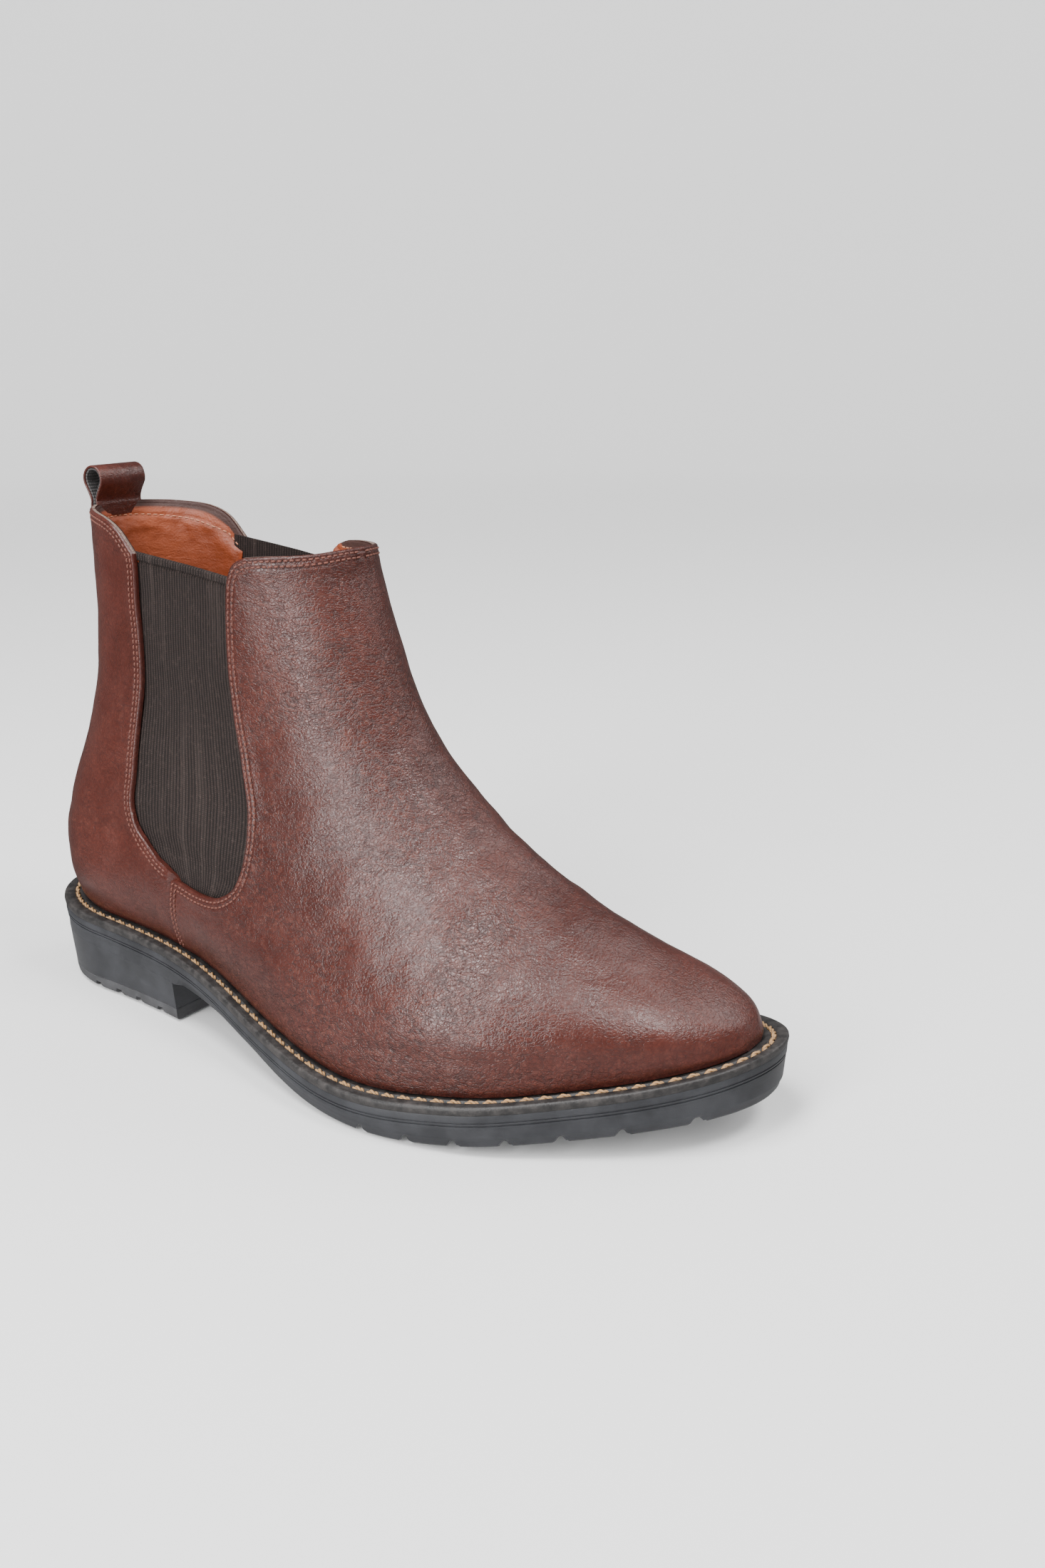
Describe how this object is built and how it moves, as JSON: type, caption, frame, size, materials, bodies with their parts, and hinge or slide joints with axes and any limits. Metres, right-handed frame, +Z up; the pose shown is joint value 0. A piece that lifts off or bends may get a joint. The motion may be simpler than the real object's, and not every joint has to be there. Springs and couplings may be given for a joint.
{
  "type": "chelsea boot",
  "caption": "Right ankle boot with elastic side gores, a lugged rubber sole, a block heel and a pull loop at the back.",
  "frame": {"origin": "on the floor at the centre of the boot's box", "axes": "+X to the toe, +Y to the inner side of the foot, +Z up"},
  "size_m": [0.308, 0.1093, 0.2023],
  "materials": {
    "upper_leather": "waxed pebble grain",
    "lining_leather": "smooth",
    "elastic": "fine rib weave",
    "upper_thread": "twisted thread",
    "welt_thread": "twisted thread",
    "welt_rubber": "satin",
    "sole_rubber": "satin",
    "tread_rubber": "matt",
    "webbing": "grosgrain",
    "stiffener": "matt",
    "cork": "matt",
    "board": "matt",
    "steel": "brushed"
  },
  "bodies": {
    "boot": {"outsole": "sole_rubber", "heel_block": "sole_rubber", "heel_top_piece": "tread_rubber", "runner": "sole_rubber", "welt": "welt_rubber", "welt_thread": "welt_thread", "bottom_filler": "cork", "shank": "steel", "heel_nails": "steel", "insole_board": "board", "sock_liner": "lining_leather", "vamp": "upper_leather", "vamp_lining": "lining_leather", "toe_puff": "stiffener", "vamp_stitching_outer": "upper_thread", "vamp_stitching_inner": "upper_thread", "quarter_heel_outer": "upper_leather", "quarter_heel_inner": "upper_leather", "heel_counter": "stiffener", "lining_heel": "lining_leather", "gore_outer": "elastic", "gore_inner": "elastic"},
    "rear_shaft": {"quarter_shaft_outer": "upper_leather", "quarter_shaft_inner": "upper_leather", "lining_shaft": "lining_leather", "quarter_stitching_outer": "upper_thread", "quarter_stitching_inner": "upper_thread", "loop_tail": "webbing"},
    "loop": {"pull_loop": "upper_leather", "pull_loop_webbing": "webbing"}
  },
  "joints": [
    {"name": "collar_opening", "type": "hinge", "parent": "boot", "child": "rear_shaft", "pos_m": [-0.138, 0.0085, 0.095], "axis": [0, -1, 0], "range_deg": [0, 12], "stiffness_Nm_per_rad": 2, "deforming": ["gore_outer", "gore_inner"]},
    {"name": "loop_fold", "type": "hinge", "parent": "rear_shaft", "child": "loop", "pos_m": [-0.1219, 0.0085, 0.1907], "axis": [0, -1, 0], "range_deg": [-40, 75], "stiffness_Nm_per_rad": 0.02}
  ]
}
